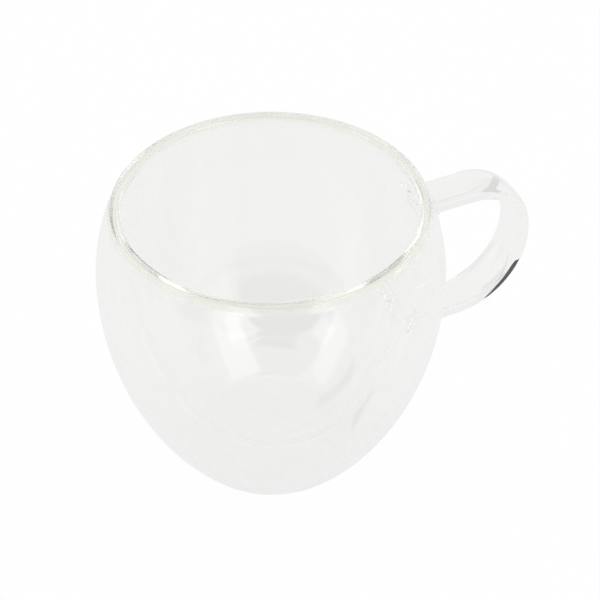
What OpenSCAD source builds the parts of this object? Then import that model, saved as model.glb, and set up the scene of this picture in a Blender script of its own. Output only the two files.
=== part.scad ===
// Double walled glass cup. An egg shaped outer shell and a deeper inner bowl are
// fused at a rounded rim, with sealed air between them. A flattened glass bar, bent
// into a C, is welded to the shell as the handle. The cup's axis is Z, the table is
// at z = 0 and the handle points along +X. All sizes are in millimetres.

/* [Body] */
// Height from the table to the top of the rim
cup_h = 85; // [80:0.5:100]
// Widest outside diameter
body_d = 95; // [91:0.5:110]
// Height of the widest ring above the table
widest_h = 61; // [50:0.5:66]
// Diameter of the flat that the cup stands on
base_d = 44; // [36:0.5:52]
// Radius that rounds the flat into the side
foot_r = 4; // [2.5:0.1:7]
// Thickness of the outer wall
shell_wall = 1.5; // [1:0.1:2]

/* [Rim] */
// How far the middle of the rim's bead lies in from the widest ring
rim_inset = 6.1; // [4:0.1:9]
// How far the bead swells past the two walls that it joins
bead_swell = 0.1; // [0.05:0.05:0.4]
// Depth of the fused rim below its top
rim_h = 4; // [3:0.1:6]

/* [Inner bowl] */
// Thickness of the inner wall
bowl_wall = 1.5; // [1:0.1:2]
// Height of the bowl's underside above the table
bowl_lift = 8.5; // [6:0.5:14]
// Outside radius of the bowl's round bottom
bowl_bottom_r = 31.4; // [26:0.2:34]

/* [Handle] */
// Width of the flattened bar
handle_w = 12; // [8:0.2:18]
// Thickness of the flattened bar
handle_t = 4.8; // [3.5:0.1:7]
// How far the outside of the grip stands out from the widest ring
handle_reach = 31.5; // [26:0.5:45]
// Depth of the upper arm's middle below the top of the rim
arm_drop = 14.6; // [12:0.1:20]
// Length of the straight stretch between the two bends
grip_straight = 1.4; // [0.4:0.2:10]
// Radius of the upper bend, to the middle of the bar
upper_bend_r = 16.4; // [10:0.2:19]
// Radius of the lower bend, to the middle of the bar
lower_bend_r = 21; // [12:0.2:25]

/* [Joints] */
// Reach of the weld collars over the wall and along the arms
weld_reach = 2; // [1:0.1:3]
// Blunt edge of the weld collars
weld_edge = 0.4; // [0.2:0.1:0.6]
// Diameter of the vent in the base
vent_d = 5; // [3:0.5:8]
// How far the vent's seal spreads over the inside of the base
seal_spread = 1.5; // [0.5:0.1:3]
// Height of the seal's dome above the inside of the base
seal_rise = 1.2; // [0.6:0.1:2]

/* [Hidden] */
$fn = 360;
clear_glass = [0.90, 0.94, 0.92, 0.45];

// Bead of the rim, centred where the two walls meet
body_r = body_d / 2;
lip_r = (shell_wall + bowl_wall) / 2;
bead_r = lip_r + bead_swell;
bead_c = [body_r - rim_inset, cup_h - bead_r];
seam_h = cup_h - rim_h;

// Shoulder arc: upright at the widest ring, and one wall's reach outside the bead's middle
neck_up = bead_c[1] - widest_h;
shoulder_r = fine((rim_inset ^ 2 + neck_up ^ 2 - lip_r ^ 2) / (2 * (rim_inset - lip_r)));
shoulder_c = [body_r - shoulder_r, widest_h];
shoulder_top = bead_c[1] + lip_r * neck_up / norm([bead_c[0] - shoulder_c[0], neck_up]);

// Side arc: upright at the widest ring, and running smoothly into the foot's rounding
side_in = body_r - base_d / 2;
side_down = widest_h - foot_r;
side_r = fine((side_in ^ 2 + side_down ^ 2 - foot_r ^ 2) / (2 * (side_in - foot_r)));
side_c = [body_r - side_r, widest_h];
foot_c = [side_c[0] + sqrt((side_r - foot_r) ^ 2 - side_down ^ 2), foot_r];
foot_sin = -side_down / (side_r - foot_r);

// Inner bowl: a long side arc, upright at the bead, and a round bottom on the axis
bowl_r = bead_c[0] - lip_r + bowl_wall;
bowl_drop = bead_c[1] - bowl_lift - bowl_bottom_r;
bowl_side_r = fine((bowl_r ^ 2 + bowl_drop ^ 2 - bowl_bottom_r ^ 2) / (2 * (bowl_r - bowl_bottom_r)));
bowl_side_c = [bowl_r - bowl_side_r, bead_c[1]];
bottom_drop = sqrt((bowl_side_r - bowl_bottom_r) ^ 2 - bowl_side_c[0] ^ 2);
bowl_bottom_c = [0, bead_c[1] - bottom_drop];
bowl_sin = -bottom_drop / (bowl_side_r - bowl_bottom_r);

// Handle: the middle of its bar lies in the XZ plane and runs down from the upper arm
grip_x = body_r + handle_reach - handle_t / 2;
upper_arm_h = cup_h - arm_drop;
upper_c = [grip_x - upper_bend_r, upper_arm_h - upper_bend_r];
lower_c = [grip_x - lower_bend_r, upper_c[1] - grip_straight];
lower_arm_h = lower_c[1] - lower_bend_r;
bar_flat = handle_w - handle_t;
// How far arms and welds run on behind the wall before they are trimmed to it
sink = handle_w;

// A radius kept to a thousandth, so that arcs that share it meet exactly
function fine(x) = round(x * 1000) / 1000;

// Heights where the foot and the bowl's bottom run into their side arcs, e inside the surface
function foot_top(e) = foot_c[1] + (foot_r - e) * foot_sin;
function bottom_top(e) = bowl_bottom_c[1] + (bowl_bottom_r - e) * bowl_sin;

// Radius of the shell's outer surface at height z
function wall_r(z) =
    let (c = z > widest_h ? shoulder_c : side_c, r = z > widest_h ? shoulder_r : side_r)
    c[0] + sqrt(r ^ 2 - (z - c[1]) ^ 2);

// Moves children in a coarse and a fine step, so that no small digit of v is lost
module shift(v) {
    coarse = [for (x = v) round(x * 100) / 100];
    translate(coarse) translate(v - coarse) children();
}

// The part of a half section between two heights
module between(z0, z1) {
    intersection() {
        children();
        polygon([[0, z0], [body_r, z0], [body_r, z1], [0, z1]]);
    }
}

// Half section inside an arc, filled across to the axis where its middle lies beside it
module inside_arc(c, r) {
    translate(c) circle(r);
    if (c[0] > 0) square([c[0], cup_h]);
}

// Half section of the space inside the shell's outer surface, e further in
module shell_space(e, top) {
    between(widest_h, top) inside_arc(shoulder_c, shoulder_r - e);
    between(foot_top(e), widest_h) inside_arc(side_c, side_r - e);
    between(e, foot_top(e)) {
        shift(foot_c) circle(foot_r - e);
        translate([0, e]) square([foot_c[0], foot_r]);
    }
}

// Half section of the space inside the bowl's outer surface, e further in
module bowl_space(e, top) {
    between(bottom_top(e), top) translate(bowl_side_c) circle(bowl_side_r - e);
    between(0, bottom_top(e)) shift(bowl_bottom_c) circle(bowl_bottom_r - e);
}

// Half section of the outer wall, from the vent to the bead
module shell_section() {
    difference() {
        shell_space(0, shoulder_top);
        shell_space(shell_wall, cup_h);
        square([vent_d / 2, foot_r]);
    }
}

// Half section of the inner wall, from the axis to the bead
module bowl_section() {
    difference() {
        bowl_space(0, bead_c[1]);
        bowl_space(bowl_wall, cup_h);
    }
}

// Everything inside the shell's outer surface, as one solid
module shell_core() {
    rotate_extrude() shell_space(0, shoulder_top);
}

// Cross section of the handle's bar: x is its thickness, y its width
module bar_section() {
    square([handle_t, bar_flat], center = true);
    for (s = [-1, 1]) translate([0, s * bar_flat / 2]) circle(handle_t / 2);
}

// A quarter bend of the bar in the XZ plane, from angle a0 on
module bend(c, r, a0) {
    translate([c[0], 0, c[1]]) rotate([90, 0, 0])
        rotate_extrude(angle = 90, start = a0) translate([r, 0]) bar_section();
}

// Straight arm at height z, from behind the wall to the bend's end at x
module arm(x, z) {
    root = wall_r(z) - sink;
    translate([root, 0, z]) rotate([0, 90, 0]) linear_extrude(x - root) bar_section();
}

// Section of a weld collar: x runs out from the bar, y along it away from the wall
module weld_section() {
    polygon([[0, -sink], [weld_reach, -sink], [weld_reach, weld_edge], [weld_edge, weld_reach],
        [0, weld_reach]]);
}

// Collar of melted glass round an arm at height z, seated on the shell
module weld_collar(z) {
    difference() {
        translate([wall_r(z), 0, z]) rotate([0, 90, 0]) for (turn = [0, 180]) rotate([0, 0, turn]) {
            translate([0, bar_flat / 2, 0]) rotate_extrude(angle = 180)
                translate([handle_t / 2, 0]) weld_section();
            translate([handle_t / 2, bar_flat / 2, 0]) rotate([90, 0, 0])
                linear_extrude(bar_flat) weld_section();
        }
        shell_core();
    }
}

// Blown outer wall, open at the top and at the vent
module outer_shell() {
    color(clear_glass) rotate_extrude() between(0, seam_h) shell_section();
}

// Blown inner wall that holds the drink
module inner_bowl() {
    color(clear_glass) rotate_extrude() between(0, seam_h) bowl_section();
}

// Fused rim: it seats on both walls, and its bead closes the air gap
module rim_ring() {
    color(clear_glass) rotate_extrude() {
        between(seam_h, cup_h) {
            shell_section();
            bowl_section();
        }
        translate(bead_c) circle(bead_r);
    }
}

// Flattened bar bent into a C, with its ends trimmed to the shell
module handle() {
    color(clear_glass) difference() {
        union() {
            arm(upper_c[0], upper_arm_h);
            bend(upper_c, upper_bend_r, 0);
            translate([grip_x, 0, lower_c[1]]) linear_extrude(grip_straight) bar_section();
            bend(lower_c, lower_bend_r, -90);
            arm(lower_c[0], lower_arm_h);
        }
        shell_core();
    }
}

// Weld of the handle's upper arm
module upper_weld() {
    color(clear_glass) weld_collar(upper_arm_h);
}

// Weld of the handle's lower arm
module lower_weld() {
    color(clear_glass) weld_collar(lower_arm_h);
}

// Drop of glass that fills the vent, flush below and domed inside
module vent_seal() {
    dome_r = vent_d / 2 + seal_spread;
    ball_r = (dome_r ^ 2 + seal_rise ^ 2) / (2 * seal_rise);
    color(clear_glass) rotate_extrude() {
        square([vent_d / 2, shell_wall]);
        intersection() {
            translate([0, shell_wall + seal_rise - ball_r]) circle(ball_r);
            translate([0, shell_wall]) square([dome_r, seal_rise]);
        }
    }
}

outer_shell();
inner_bowl();
rim_ring();
handle();
upper_weld();
lower_weld();
vent_seal();
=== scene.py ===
from math import acos, asin, atan2, ceil, copysign, cos, hypot, pi, radians, sin, sqrt

import bpy
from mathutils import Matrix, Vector


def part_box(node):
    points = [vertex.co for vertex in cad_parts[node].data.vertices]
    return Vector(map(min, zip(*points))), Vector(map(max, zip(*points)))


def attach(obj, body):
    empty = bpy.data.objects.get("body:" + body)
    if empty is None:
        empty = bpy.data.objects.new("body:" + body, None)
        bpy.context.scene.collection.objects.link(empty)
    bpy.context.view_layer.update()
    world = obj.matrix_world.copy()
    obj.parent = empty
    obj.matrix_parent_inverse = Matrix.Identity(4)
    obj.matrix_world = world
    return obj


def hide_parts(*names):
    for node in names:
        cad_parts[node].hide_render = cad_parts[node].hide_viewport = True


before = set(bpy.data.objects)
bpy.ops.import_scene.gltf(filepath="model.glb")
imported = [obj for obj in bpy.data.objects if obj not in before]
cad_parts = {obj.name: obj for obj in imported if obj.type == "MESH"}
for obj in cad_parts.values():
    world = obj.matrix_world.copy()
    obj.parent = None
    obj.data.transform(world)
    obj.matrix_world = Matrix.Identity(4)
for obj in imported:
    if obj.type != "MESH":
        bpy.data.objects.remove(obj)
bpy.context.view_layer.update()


# Outer shell: one thin egg of clear borosilicate glass, blown from a tube. It is open at the top,
# where the rim closes it, has a small vent in its flat base, and is never touched by the drink.
mm = 0.001
shell_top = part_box("outer_shell")[1]
body_r = shell_top.y
seam_h = shell_top.z
shell_wall = 1.5 * mm
widest_h = 61 * mm
base_r = 22 * mm
foot_r = 4 * mm
vent_r = 2.5 * mm
seal_spread = 1.5 * mm
cup_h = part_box("rim_ring")[1].z
lip_r = 1.5 * mm
bead_r = 1.6 * mm
rim_inset = 6.1 * mm
bead_c = Vector((body_r - rim_inset, cup_h - bead_r))


def meeting_arc(out, up, ball_r):
    """Radius of an arc that starts upright, and touches a ball that lies this far in and up from there."""
    return (out ** 2 + up ** 2 - ball_r ** 2) / (2 * (out - ball_r))


shoulder_r = meeting_arc(body_r - bead_c.x, bead_c.y - widest_h, lip_r)
shoulder_c = Vector((body_r - shoulder_r, widest_h))
inner_r = shoulder_r - shell_wall
side_r = meeting_arc(body_r - base_r, widest_h - foot_r, foot_r)
side_c = Vector((body_r - side_r, widest_h))
foot_angle = -asin((widest_h - foot_r) / (side_r - foot_r))
foot_c = Vector((side_c.x + (side_r - foot_r) * cos(foot_angle), foot_r))


def on_arc(centre, r, angle):
    """Point of an arc at an angle."""
    return Vector((centre.x + r * cos(angle), centre.y + r * sin(angle)))


def arc_angle(centre, r, z):
    """Angle at which an arc passes height z, on its outer side."""
    return asin((z - centre.y) / r)


def at_seam(centre, r):
    """Point where an arc passes the seam between a wall and the rim."""
    return on_arc(centre, r, arc_angle(centre, r, seam_h))


def line(there):
    """A straight stroke of a section, to a point."""
    return "line", Vector(there)


def arc(centre, angle):
    """A round stroke of a section, about a middle and up to an angle."""
    return "arc", centre, angle


coarsest_turn = radians(9)


def draw(start, strokes, finest):
    """Draws a chain of lines and arcs in the XZ plane, as one new object left in edit mode."""
    bpy.ops.object.select_all(action="DESELECT")
    bpy.ops.mesh.primitive_plane_add(size=finest, location=(start[0], 0, start[1]))
    bpy.ops.object.transform_apply(location=True)
    bpy.ops.object.mode_set(mode="EDIT")
    bpy.ops.mesh.select_all(action="SELECT")
    bpy.ops.mesh.merge(type="CENTER")
    here = Vector(start)
    for kind, place, *angle in strokes:
        if kind == "line":
            step = place - here
            bpy.ops.mesh.extrude_region_move(TRANSFORM_OT_translate={"value": (step.x, 0, step.y)})
            here = place
            continue
        r = (here - place).length
        start_angle = atan2(here.y - place.y, here.x - place.x)
        turn = (angle[0] - start_angle + pi) % (2 * pi) - pi
        steps = max(3, ceil(abs(turn) * r / finest), ceil(abs(turn) / coarsest_turn))
        bpy.ops.mesh.spin(steps=steps, angle=turn, center=(place.x, 0, place.y), axis=(0, 1, 0))
        here = on_arc(place, r, start_angle + turn)
    return bpy.context.object


merge_gap = 0.0005 * mm
sharp_edge = radians(35)


def close(piece, name):
    """Merges what meets, turns the faces outwards and smooths all but the sharp edges."""
    bpy.ops.object.mode_set(mode="EDIT")
    bpy.ops.mesh.select_all(action="SELECT")
    bpy.ops.mesh.remove_doubles(threshold=merge_gap)
    bpy.ops.mesh.normals_make_consistent(inside=False)
    bpy.ops.object.mode_set(mode="OBJECT")
    bpy.ops.object.shade_smooth_by_angle(angle=sharp_edge)
    piece.name = name
    piece.data.name = name
    return piece


def lathe(name, start, strokes, finest=1.0 * mm, steps=256):
    """Draws a half section and turns it round the cup's axis to a closed body."""
    piece = draw(start, strokes, finest)
    bpy.ops.object.mode_set(mode="OBJECT")
    bpy.ops.object.modifier_add(type="SCREW")
    screw = piece.modifiers[-1]
    screw.steps = steps
    screw.render_steps = steps
    screw.use_merge_vertices = True
    screw.merge_threshold = merge_gap
    bpy.ops.object.modifier_apply(modifier=screw.name)
    return close(piece, name)


outer_shell = lathe("blown_outer_shell", at_seam(shoulder_c, shoulder_r), [
    arc(shoulder_c, 0),
    arc(side_c, foot_angle),
    arc(foot_c, -pi / 2),
    line((vent_r, 0)),
    line((vent_r, shell_wall)),
    line((vent_r + seal_spread, shell_wall)),
    line((foot_c.x, shell_wall)),
    arc(foot_c, foot_angle),
    arc(side_c, 0),
    arc(shoulder_c, arc_angle(shoulder_c, inner_r, seam_h)),
    line(at_seam(shoulder_c, shoulder_r)),
])


class Wire:
    """An output of a material's nodes. Arithmetic on it adds Math nodes."""

    def __init__(self, tree, node=None, output=0):
        self.tree = tree
        self.node = node
        self.socket = node.outputs[output] if node and node.outputs else None

    def add(self, kind, settings, sockets, output=0):
        """Adds a node, with its settings set first and then the values or links of its sockets."""
        node = self.tree.nodes.new(kind)
        for name, value in settings.items():
            setattr(node, name, value)
        for name, value in sockets.items():
            if isinstance(value, Wire):
                self.tree.links.new(value.socket, node.inputs[name])
            else:
                node.inputs[name].default_value = value
        return Wire(self.tree, node, output)

    def maths(self, operation, first, second):
        return self.add("ShaderNodeMath", {"operation": operation}, {0: first, 1: second})

    def __add__(self, other):
        return self.maths("ADD", self, other)

    def __radd__(self, other):
        return self.maths("ADD", other, self)

    def __sub__(self, other):
        return self.maths("SUBTRACT", self, other)

    def __rsub__(self, other):
        return self.maths("SUBTRACT", other, self)

    def __mul__(self, other):
        return self.maths("MULTIPLY", self, other)

    def __rmul__(self, other):
        return self.maths("MULTIPLY", other, self)


def new_material(name):
    """An empty material and a wire to add its nodes with."""
    material = bpy.data.materials.new(name)
    material.use_nodes = True
    material.node_tree.nodes.clear()
    return material, Wire(material.node_tree)


def make_glass(name, tint, wave, blur):
    """Clear blown glass with slow waves and a polish that varies a little. Its shadow is nearly clear.

    The tint is one colour, or a function that makes it from the material's nodes.
    """
    waves_per_metre = 38
    shadow_tone = 0.985
    material, nodes = new_material(name)
    place = nodes.add("ShaderNodeTexCoord", {}, {}, "Object")
    slow = nodes.add("ShaderNodeTexNoise", {}, {"Vector": place, "Scale": waves_per_metre, "Detail": 1.0})
    bump = nodes.add("ShaderNodeBump", {}, {"Height": slow, "Strength": wave, "Distance": 1 * mm})
    glass = nodes.add("ShaderNodeBsdfPrincipled", {}, {
        "Base Color": tint(nodes) if callable(tint) else tint,
        "Roughness": blur * (0.5 + slow),
        "IOR": 1.47,
        "Transmission Weight": 1.0,
        "Normal": bump,
    })
    clear = nodes.add("ShaderNodeBsdfTransparent", {}, {"Color": (shadow_tone, shadow_tone, shadow_tone, 1)})
    shadow_ray = nodes.add("ShaderNodeLightPath", {}, {}, "Is Shadow Ray")
    surface = nodes.add("ShaderNodeMixShader", {}, {0: shadow_ray, 1: glass, 2: clear})
    nodes.add("ShaderNodeOutputMaterial", {}, {"Surface": surface})
    return material


def make_melted_joint():
    """Face where two pieces are melted into one: nothing shows there."""
    material, nodes = new_material("melted_joint")
    clear = nodes.add("ShaderNodeBsdfTransparent", {}, {"Color": (1, 1, 1, 1)})
    nodes.add("ShaderNodeOutputMaterial", {}, {"Surface": clear})
    return material


clear_tint = (1.0, 0.999, 0.995, 1)
wall_glass = make_glass("wall_glass", clear_tint, wave=0.02, blur=0.02)
melted_joint = make_melted_joint()


def finish_piece(piece, node, glass, is_joint):
    """Glass outside, a melted joint where is_joint says so, and the piece's place on the cup."""
    piece.data.materials.append(glass)
    piece.data.materials.append(melted_joint)
    for face in piece.data.polygons:
        if is_joint(face.center):
            face.material_index = 1
    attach(piece, "root")
    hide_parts(node)


def wall_x(y, z):
    """Where the shell's outside lies along +X, at a width and a height."""
    centre, r = (shoulder_c, shoulder_r) if z > widest_h else (side_c, side_r)
    across = centre.x + sqrt(r ** 2 - (z - centre.y) ** 2)
    return sqrt(across ** 2 - y ** 2)


# The arms of the handle are melted into the shell, so their places are needed here too
handle_t = 4.8 * mm
bar_flat = 7.2 * mm
weld_reach = 2 * mm
melted_share = 0.6
upper_arm_h = cup_h - 14.6 * mm
lower_arm_h = 31.6 * mm
touching = 0.01 * mm


def off_bar(place, arm_h):
    """Distance of a point from the middle of an arm's flattened bar, seen along the arm."""
    return hypot(max(abs(place.y) - bar_flat / 2, 0), place.z - arm_h)


def shell_joint(place):
    """The seam under the rim, the seat of the vent's seal, and the wall under both arms."""
    out = hypot(place.x, place.y)
    at_rim = place.z > seam_h - touching
    at_vent = touching < place.z < shell_wall + touching and out < vent_r + seal_spread
    outside = place.z > foot_r and out > wall_x(0, place.z) - shell_wall / 2
    nearest = min(off_bar(place, upper_arm_h), off_bar(place, lower_arm_h))
    at_handle = place.x > 0 and outside and nearest < handle_t / 2 + melted_share * weld_reach
    return at_rim or at_vent or at_handle


finish_piece(outer_shell, "outer_shell", wall_glass, shell_joint)


# Inner bowl: the wall that holds the drink, blown from a second tube with a round bottom.
# It hangs from the rim inside the shell, with sealed air all round it.
bowl_wall = 1.5 * mm
bowl_lift = 8.5 * mm
bottom_r = 31.4 * mm
bowl_r = bead_c.x
bowl_drop = bead_c.y - bowl_lift - bottom_r
bowl_side_r = (bowl_r ** 2 + bowl_drop ** 2 - bottom_r ** 2) / (2 * (bowl_r - bottom_r))
bowl_side_c = Vector((bowl_r - bowl_side_r, bead_c.y))
bowl_inner_r = bowl_side_r - bowl_wall
bottom_drop = sqrt((bowl_side_r - bottom_r) ** 2 - bowl_side_c.x ** 2)
bottom_c = Vector((0, bead_c.y - bottom_drop))
bottom_angle = -asin(bottom_drop / (bowl_side_r - bottom_r))
inner_bowl = lathe("blown_inner_bowl", bottom_c - Vector((0, bottom_r)), [
    arc(bottom_c, bottom_angle),
    arc(bowl_side_c, arc_angle(bowl_side_c, bowl_side_r, seam_h)),
    line(at_seam(bowl_side_c, bowl_inner_r)),
    arc(bowl_side_c, bottom_angle),
    arc(bottom_c, -pi / 2),
])


def bowl_joint(place):
    return place.z > seam_h - touching


finish_piece(inner_bowl, "inner_bowl", wall_glass, bowl_joint)


# Rim: the two walls are fused in a flame into one rounded lip, which closes the air between
# them in a small round. Long light paths in its thicker glass show a faint olive green.
def angle_from(centre, point):
    """Angle at which a point lies from a middle."""
    return atan2(point.y - centre.y, point.x - centre.x)


def touch_angle(centre, r, point, side):
    """Angle at which a line from a point touches a circle: side is 1 or -1."""
    return angle_from(centre, point) + side * acos(r / (point - centre).length)


gap_end_r = 0.35 * mm
gap_end_c = bead_c + Vector((0.05, -0.25)) * mm
bowl_seam = at_seam(bowl_side_c, bowl_side_r)
shell_seam = at_seam(shoulder_c, inner_r)
rim_ring = lathe("fused_rim", at_seam(shoulder_c, shoulder_r), [
    arc(shoulder_c, angle_from(shoulder_c, bead_c)),
    arc(bead_c, pi / 2),
    arc(bead_c, pi),
    arc(bowl_side_c, arc_angle(bowl_side_c, bowl_inner_r, seam_h)),
    line(bowl_seam),
    line(on_arc(gap_end_c, gap_end_r, touch_angle(gap_end_c, gap_end_r, bowl_seam, -1))),
    arc(gap_end_c, pi / 2),
    arc(gap_end_c, touch_angle(gap_end_c, gap_end_r, shell_seam, 1)),
    line(shell_seam),
    line(at_seam(shoulder_c, shoulder_r)),
], finest=0.15 * mm, steps=512)


def lip_tint(nodes):
    """Clear on the two walls, and olive where they have run together."""
    fused_olive = (0.968, 0.975, 0.915, 1)
    blend_h = 1.5 * mm
    place = nodes.add("ShaderNodeTexCoord", {}, {}, "Object")
    height = nodes.add("ShaderNodeSeparateXYZ", {}, {"Vector": place}, "Z")
    lip = nodes.add("ShaderNodeMapRange", {"interpolation_type": "SMOOTHSTEP"}, {
        "Value": height, "From Min": bead_c.y - blend_h, "From Max": bead_c.y, "To Min": 0, "To Max": 1})
    # A Mix node has sockets of the same name for each kind of value, so its colours go by number
    factor = 0
    first_colour = 6
    second_colour = 7
    mixed_colour = 2
    return nodes.add("ShaderNodeMix", {"data_type": "RGBA"}, {
        factor: lip, first_colour: clear_tint, second_colour: fused_olive}, mixed_colour)


def rim_joint(place):
    return place.z < seam_h + touching


rim_glass = make_glass("rim_glass", lip_tint, wave=0.004, blur=0.03)
finish_piece(rim_ring, "rim_ring", rim_glass, rim_joint)


# Handle: a bar of clear glass, flattened while soft, so that its flats are slightly crowned, and
# bent into a C. Both its ends are melted onto the shell.
grip_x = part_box("handle")[1].x - handle_t / 2
upper_bend_r = 16.4 * mm
lower_bend_r = 21 * mm
upper_c = Vector((grip_x - upper_bend_r, upper_arm_h - upper_bend_r))
lower_c = Vector((grip_x - lower_bend_r, lower_arm_h + lower_bend_r))
upper_root_x = wall_x(0, upper_arm_h)
lower_root_x = wall_x(0, lower_arm_h)
bar_points = 96
bar_square = 3.0
end_rings = 3
end_ring_w = 0.6 * mm
bpy.ops.object.select_all(action="DESELECT")
bpy.ops.mesh.primitive_circle_add(vertices=bar_points, radius=handle_t / 2, fill_type="NGON",
                                  location=(upper_root_x, 0, upper_arm_h), rotation=(0, pi / 2, 0))
handle = bpy.context.object
bpy.ops.object.transform_apply(location=True, rotation=True)
bpy.ops.object.mode_set(mode="EDIT")
bpy.ops.mesh.select_all(action="SELECT")
bpy.ops.transform.rotate(value=pi / bar_points, orient_axis="X",
                         center_override=(upper_root_x, 0, upper_arm_h))
bpy.ops.object.mode_set(mode="OBJECT")
for vertex in handle.data.vertices:
    across = vertex.co.y / (handle_t / 2)
    up = (vertex.co.z - upper_arm_h) / (handle_t / 2)
    vertex.co.y = copysign(abs(across) ** (2 / bar_square) * (bar_flat + handle_t) / 2, across)
    vertex.co.z = upper_arm_h + copysign(abs(up) ** (2 / bar_square) * handle_t / 2, up)
bpy.ops.object.mode_set(mode="EDIT")
bpy.ops.mesh.select_all(action="SELECT")


def draw_out(x, z):
    """Lengthens the bar by a straight stretch."""
    bpy.ops.mesh.extrude_region_move(TRANSFORM_OT_translate={"value": (x, 0, z)})


def bend_down(centre, steps):
    """Bends the bar by a quarter turn."""
    bpy.ops.mesh.spin(steps=steps, angle=-pi / 2, center=(centre.x, 0, centre.y), axis=(0, 1, 0))


draw_out(weld_reach, 0)
draw_out(upper_c.x - upper_root_x - weld_reach, 0)
bend_down(upper_c, 96)
draw_out(0, lower_c.y - upper_c.y)
bend_down(lower_c, 112)
draw_out(lower_root_x + weld_reach - lower_c.x, 0)
draw_out(-weld_reach, 0)
bpy.ops.mesh.select_mode(type="FACE")
bpy.ops.mesh.select_all(action="DESELECT")
bpy.ops.object.mode_set(mode="OBJECT")
for face in handle.data.polygons:
    face.select = len(face.vertices) == bar_points
bpy.ops.object.mode_set(mode="EDIT")
for ring in range(end_rings):
    bpy.ops.mesh.inset(thickness=end_ring_w)
bpy.ops.mesh.select_mode(type="VERT")
bpy.ops.object.mode_set(mode="OBJECT")
for vertex in handle.data.vertices:
    arm_h = upper_arm_h if vertex.co.z > upper_c.y else lower_arm_h
    arm_x = wall_x(0, arm_h)
    if vertex.co.x < arm_x + weld_reach + touching:
        vertex.co.x += wall_x(vertex.co.y, vertex.co.z) - arm_x
close(handle, "bent_handle")


def handle_joint(place):
    """The stretch of both arms that lies in the welds."""
    if place.x > upper_c.x:
        return False
    return place.x < wall_x(place.y, place.z) + weld_reach


handle_glass = make_glass("handle_glass", (1.0, 0.999, 0.992, 1), wave=0.002, blur=0.02)
finish_piece(handle, "handle", handle_glass, handle_joint)


# Welds: collars of melted glass that run round both arms where they meet the shell. Each is drawn
# out of the softened ends in the flame, with a hollow slope from the wall to the bar.
weld_edge = 0.4 * mm
weld_near = 0.1 * mm


def make_weld(name, node, arm_h):
    """A collar with a hollow slope, drawn flat round the bar and then laid onto the shell."""
    bore = handle_t / 2
    slope_c = Vector((bore + weld_reach, weld_reach))
    piece = draw((bore, 0), [
        line((bore + weld_reach, 0)),
        line((bore + weld_reach, weld_edge)),
        arc(slope_c, pi),
        line((bore, weld_reach)),
        line((bore, 0)),
    ], finest=0.25 * mm)
    bpy.ops.mesh.select_all(action="SELECT")
    bpy.ops.transform.translate(value=(0, bar_flat / 2, 0))
    for side in (1, -1):
        middle = (0, side * bar_flat / 2, 0)
        bpy.ops.mesh.spin(steps=24, angle=-pi, center=middle, axis=(0, 0, 1))
        bpy.ops.mesh.extrude_region_move(TRANSFORM_OT_translate={"value": (0, -side * bar_flat, 0)})
    bpy.ops.object.mode_set(mode="OBJECT")
    for vertex in piece.data.vertices:
        out, across, along = vertex.co
        z = arm_h + out
        vertex.co = wall_x(across, z) + along, across, z
    close(piece, name)

    def weld_joint(place):
        on_wall = place.x < wall_x(place.y, place.z) + weld_near
        on_bar = off_bar(place, arm_h) < bore + weld_near
        return on_wall or on_bar

    finish_piece(piece, node, handle_glass, weld_joint)


make_weld("upper_handle_weld", "upper_weld", upper_arm_h)
make_weld("lower_handle_weld", "lower_weld", lower_arm_h)


# Vent seal: the drop of glass that closes the vent in the base once the shell is blown and cooled.
# It lies flush with the base below, and swells to a low dome inside.
seal_r = vent_r + seal_spread
seal_rise = 1.2 * mm
dome_r = (seal_r ** 2 + seal_rise ** 2) / (2 * seal_rise)
dome_c = Vector((0, shell_wall + seal_rise - dome_r))
vent_seal = lathe("vent_seal_drop", (0, 0), [
    line((vent_r, 0)),
    line((vent_r, shell_wall)),
    line((seal_r, shell_wall)),
    arc(dome_c, pi / 2),
], finest=0.3 * mm)


def seal_joint(place):
    return touching < place.z < shell_wall + touching


finish_piece(vent_seal, "vent_seal", wall_glass, seal_joint)


# Floor: a round sheet of white paper under the cup. It is plain white to the camera, nearly so
# through the glass, and to all other light a pale paper that takes the cup's shadow.
camera_turn = radians(-26)


def towards(turn, rise):
    """Unit vector to a place round the cup, turned from the camera's side and raised from the table."""
    turn += camera_turn
    return Vector((sin(turn) * cos(rise), -cos(turn) * cos(rise), sin(rise)))


sheet_r = 450 * mm
sheet_c = towards(0, 0) * 150 * mm
sheet_drop = 0.05 * mm
paper_tone = 0.84
paper_in_glass = 0.91
white_share = 0.98
glass_share = 0.85
bpy.ops.object.select_all(action="DESELECT")
bpy.ops.mesh.primitive_circle_add(vertices=128, radius=sheet_r, fill_type="NGON",
                                  location=(sheet_c.x, sheet_c.y, -sheet_drop))
floor = bpy.context.object
floor.name = "studio_floor"
paper, nodes = new_material("white_paper")
sheet = nodes.add("ShaderNodeBsdfDiffuse", {}, {"Color": (paper_tone, paper_tone, paper_tone, 1)})
camera_ray = nodes.add("ShaderNodeLightPath", {}, {}, "Is Camera Ray")
glossy_ray = Wire(nodes.tree, camera_ray.node, "Is Glossy Ray")
passed_ray = Wire(nodes.tree, camera_ray.node, "Is Transmission Ray")
glass_ray = nodes.maths("MAXIMUM", glossy_ray, passed_ray)
white = nodes.add("ShaderNodeEmission", {}, {"Color": (1, 1, 1, 1), "Strength": 1.0})
pale = nodes.add("ShaderNodeEmission", {}, {"Color": (1, 1, 1, 1), "Strength": paper_in_glass})
in_glass = nodes.add("ShaderNodeMixShader", {}, {0: glass_ray * glass_share, 1: sheet, 2: pale})
surface = nodes.add("ShaderNodeMixShader", {}, {0: camera_ray * white_share, 1: in_glass, 2: white})
nodes.add("ShaderNodeOutputMaterial", {}, {"Surface": surface})
floor.data.materials.append(paper)


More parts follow.
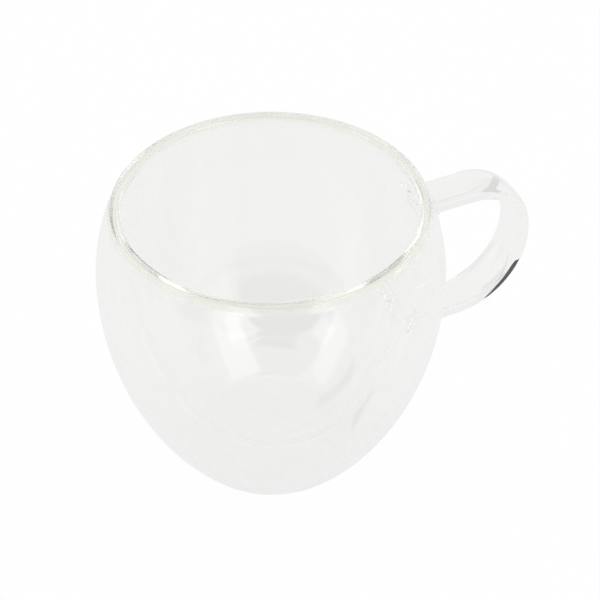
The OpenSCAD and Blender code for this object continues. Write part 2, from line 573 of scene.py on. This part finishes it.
# Light tent: pale cloth all round, with a bright panel on either side of the camera. It is darker
# in the low room where the camera stands, at an opening above it, and at a slit behind the cup.
world = bpy.data.worlds.new("light_tent")
bpy.context.scene.world = world
world.use_nodes = True
world.node_tree.nodes.clear()
tent = Wire(world.node_tree)
direction = tent.add("ShaderNodeTexCoord", {}, {}, "Generated")
height = tent.add("ShaderNodeSeparateXYZ", {}, {"Vector": direction}, "Z")


def fade(value, start, end, low, high):
    """Runs smoothly from low to high while the value goes from start to end."""
    return tent.add("ShaderNodeMapRange", {"interpolation_type": "SMOOTHSTEP"}, {
        "Value": value, "From Min": start, "From Max": end, "To Min": low, "To Max": high})


def along(axis):
    """How far a view points along an axis, from -1 to 1."""
    return tent.add("ShaderNodeVectorMath", {"operation": "DOT_PRODUCT"}, {0: direction, 1: axis}, "Value")


def spot(turn, rise, spread, edge):
    """Share of a view that a round spot in the tent covers: 1 in it and 0 round it."""
    return fade(along(towards(turn, rise)), cos(spread + edge), cos(spread - edge), 0, 1)


def band(axis, half, edge):
    """Share that a band covers, which runs round the tent square to an axis: 1 in it and 0 beside it."""
    return fade(tent.maths("ABSOLUTE", along(axis), 0), sin(half + edge), sin(half - edge), 0, 1)


def panel(turn, rise, wide, high, lean=0, edge=radians(2)):
    """Share that an oblong panel of the tent covers, which can lean sideways: 1 on it and 0 round it."""
    across = towards(turn + pi / 2, 0)
    up = towards(turn, rise + pi / 2)
    side = across * cos(lean) + up * sin(lean)
    tall = up * cos(lean) - across * sin(lean)
    this_side = spot(turn, rise, radians(60), radians(20))
    return band(side, wide / 2, edge) * band(tall, high / 2, edge) * this_side


cloth = fade(height, -0.02, 0.02, 0.8, 1.0)
back_wall = spot(pi, radians(20), radians(50), radians(15))
camera_side = spot(radians(-11), 0, radians(44), radians(2))
low_room = camera_side * fade(height, 0.03, 0.1, 0.5, 1.0)
camera_hole = panel(radians(-8), radians(49), radians(44), radians(16))
slit = panel(radians(-131), radians(9), radians(15), radians(42), radians(30))
right_panel = panel(radians(29), radians(25), radians(52), radians(29))
left_panel = panel(radians(-64), radians(18), radians(22), radians(22))
back_dim = 0.15
room_dim = 0.72
slit_dim = 0.95
hole_dim = 0.95
right_light = 1.2
left_light = 1.0
brightest = 2.2
closed = (1 - camera_side) * (1 - camera_hole)
level = cloth * (1 - back_dim * back_wall) * (1 - room_dim * low_room) * (1 - slit_dim * slit)
level = level * (1 - hole_dim * camera_hole)
level = level + closed * (right_light * right_panel + left_light * left_panel)
dark = tent.add("ShaderNodeBackground", {}, {"Color": (0, 0, 0, 1), "Strength": 1.0})
bright = tent.add("ShaderNodeBackground", {}, {"Color": (1, 1, 1, 1), "Strength": brightest})
white = tent.add("ShaderNodeBackground", {}, {"Color": (1, 1, 1, 1), "Strength": 1.0})
camera_ray = tent.add("ShaderNodeLightPath", {}, {}, "Is Camera Ray")
lit = tent.add("ShaderNodeMixShader", {}, {0: level * (1 / brightest), 1: dark, 2: bright})
shown = tent.add("ShaderNodeMixShader", {}, {0: camera_ray, 1: lit, 2: white})
tent.add("ShaderNodeOutputWorld", {}, {"Surface": shown})


# Camera: a long lens that looks down on the cup, with the handle to its right. Light goes round in
# the thin walls and the rim for long before it leaves them, so its paths may have many turns.
camera_rise = radians(39.76)
camera_gap = 650 * mm
camera_lens = 142.15
aim_across = 7.86 * mm
aim_h = 51.42 * mm
glass_bounces = 1024
target = Vector((aim_across * cos(camera_turn), aim_across * sin(camera_turn), aim_h))
back = towards(0, camera_rise)
bpy.ops.object.camera_add(location=target + back * camera_gap,
                          rotation=back.to_track_quat("Z", "Y").to_euler())
camera = bpy.context.object
camera.data.lens = camera_lens
camera.data.clip_start = 10 * mm
scene = bpy.context.scene
scene.camera = camera
scene.view_settings.view_transform = "Standard"
scene.cycles.max_bounces = glass_bounces
scene.cycles.transmission_bounces = glass_bounces
scene.cycles.glossy_bounces = glass_bounces
scene.cycles.transparent_max_bounces = glass_bounces
